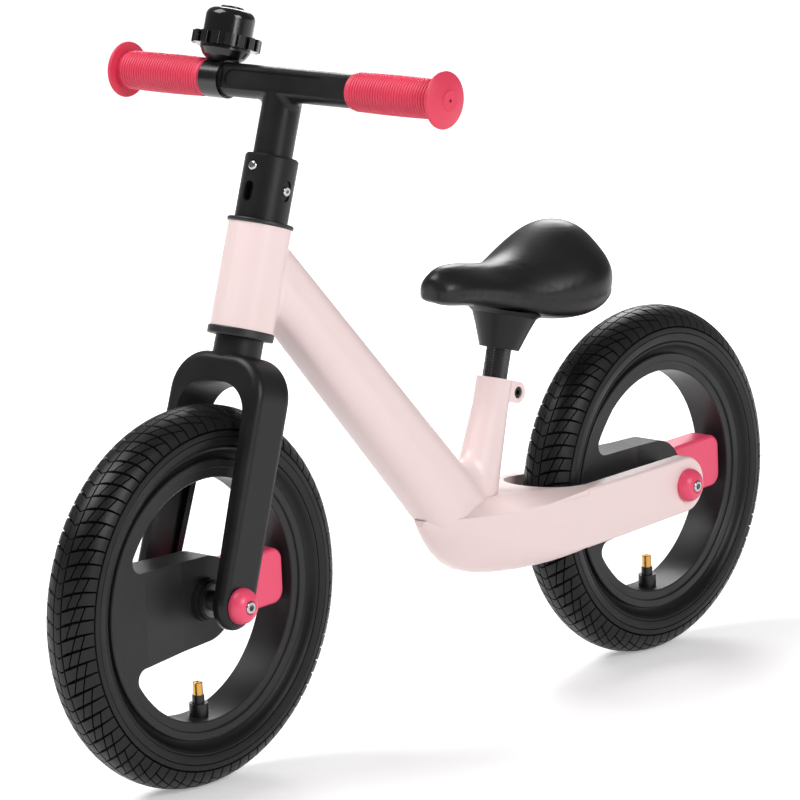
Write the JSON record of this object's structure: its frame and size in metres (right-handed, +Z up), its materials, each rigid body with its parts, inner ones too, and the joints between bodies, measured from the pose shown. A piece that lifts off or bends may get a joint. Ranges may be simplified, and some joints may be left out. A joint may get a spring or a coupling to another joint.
{
  "type": "balance bike",
  "caption": "Child's balance bike without pedals: pale frame with a wheel yoke, steerable fork, ribbed grips, bell, padded saddle on a sliding post and fan-spoke wheels.",
  "frame": {"origin": "on the ground, midway between the two axles, in the bike's middle plane", "axes": "+X forward, +Y to the rider's left, +Z up; the bike stands upright with its wheels straight"},
  "size_m": [0.867, 0.3426, 0.5938],
  "materials": {
    "frame_paint": "satin pale pink coat over a cast magnesium frame",
    "fork_coat": "black powder coat with a fine grain",
    "bush_plastic": "matt black nylon",
    "wheel_plastic": "dark grey moulded, lightly grained",
    "accent_plastic": "raspberry moulded, satin",
    "grip_rubber": "raspberry soft rubber, ribbed",
    "tyre_rubber": "black rubber",
    "tube_rubber": "thin black rubber",
    "valve_rubber": "black moulded rubber",
    "valve_brass": "bare turned brass",
    "steel": "plain ground steel",
    "bright_steel": "bright plated",
    "black_steel": "blackened",
    "bell_plastic": "gloss black",
    "bell_metal": "gloss black lacquer",
    "post_steel": "black, with a diamond knurl",
    "saddle_foam": "dark grey foam skin, satin",
    "saddle_plastic": "dark grey moulded"
  },
  "bodies": {
    "frame": {"frame": "frame_paint", "headset_upper_cup": "bush_plastic", "headset_lower_cup": "bush_plastic", "seat_clamp_bolt": "black_steel", "seat_clamp_nut": "steel", "rear_axle": "steel", "rear_axle_spacers": "steel", "rear_axle_caps": "accent_plastic", "rear_axle_bolts": "bright_steel"},
    "rear_wheel": {"rear_wheel": "wheel_plastic", "rear_accent_block": "accent_plastic", "rear_tyre": "tyre_rubber", "rear_inner_tube": "tube_rubber", "rear_valve_stem": "valve_rubber", "rear_valve_tip": "valve_brass", "rear_wheel_bearings": "steel"},
    "steering": {"fork": "fork_coat", "fork_collar": "fork_coat", "collar_bolt": "bright_steel", "handlebar": "fork_coat", "left_grip": "grip_rubber", "right_grip": "grip_rubber", "bell_band": "bell_plastic", "bell_band_screw": "black_steel", "bell_base": "bell_plastic", "bell_stud": "steel", "bell_gong": "bell_metal", "bell_cap": "bell_plastic", "front_axle": "steel", "front_axle_spacers": "steel", "front_axle_caps": "accent_plastic", "front_axle_bolts": "bright_steel"},
    "front_wheel": {"front_wheel": "wheel_plastic", "front_accent_block": "accent_plastic", "front_tyre": "tyre_rubber", "front_inner_tube": "tube_rubber", "front_valve_stem": "valve_rubber", "front_valve_tip": "valve_brass", "front_wheel_bearings": "steel"},
    "bell_ring": {"bell_ring": "bell_plastic", "bell_strikers": "bell_plastic"},
    "snap_button": {"snap_button": "bright_steel", "snap_spring": "steel"},
    "seat": {"saddle": "saddle_foam", "saddle_base": "saddle_plastic", "seat_post": "post_steel", "saddle_post_screw": "black_steel"}
  },
  "joints": [
    {"name": "steering_turn", "type": "hinge", "parent": "frame", "child": "steering", "pos_m": [0.2835, 0, 0.15], "axis": [-0.2874, 0, 0.9578], "continuous": true},
    {"name": "front_wheel_spin", "type": "hinge", "parent": "steering", "child": "front_wheel", "pos_m": [0.2835, 0, 0.15], "axis": [0, 1, 0], "continuous": true},
    {"name": "rear_wheel_spin", "type": "hinge", "parent": "frame", "child": "rear_wheel", "pos_m": [-0.2835, 0, 0.15], "axis": [0, 1, 0], "continuous": true},
    {"name": "seat_height", "type": "slide", "parent": "frame", "child": "seat", "axis": [-0.2504, 0, 0.9681], "range_m": [-0.018, 0.05]},
    {"name": "bell_ring_twist", "type": "hinge", "parent": "steering", "child": "bell_ring", "pos_m": [0.17224, -0.065, 0.53685], "axis": [-0.2874, 0, 0.9578], "continuous": true},
    {"name": "snap_button_press", "type": "slide", "parent": "steering", "child": "snap_button", "axis": [0.9578, 0, 0.2874], "range_m": [-0.007, 0], "stiffness_N_per_m": 1500, "springref_m": 0.003}
  ]
}
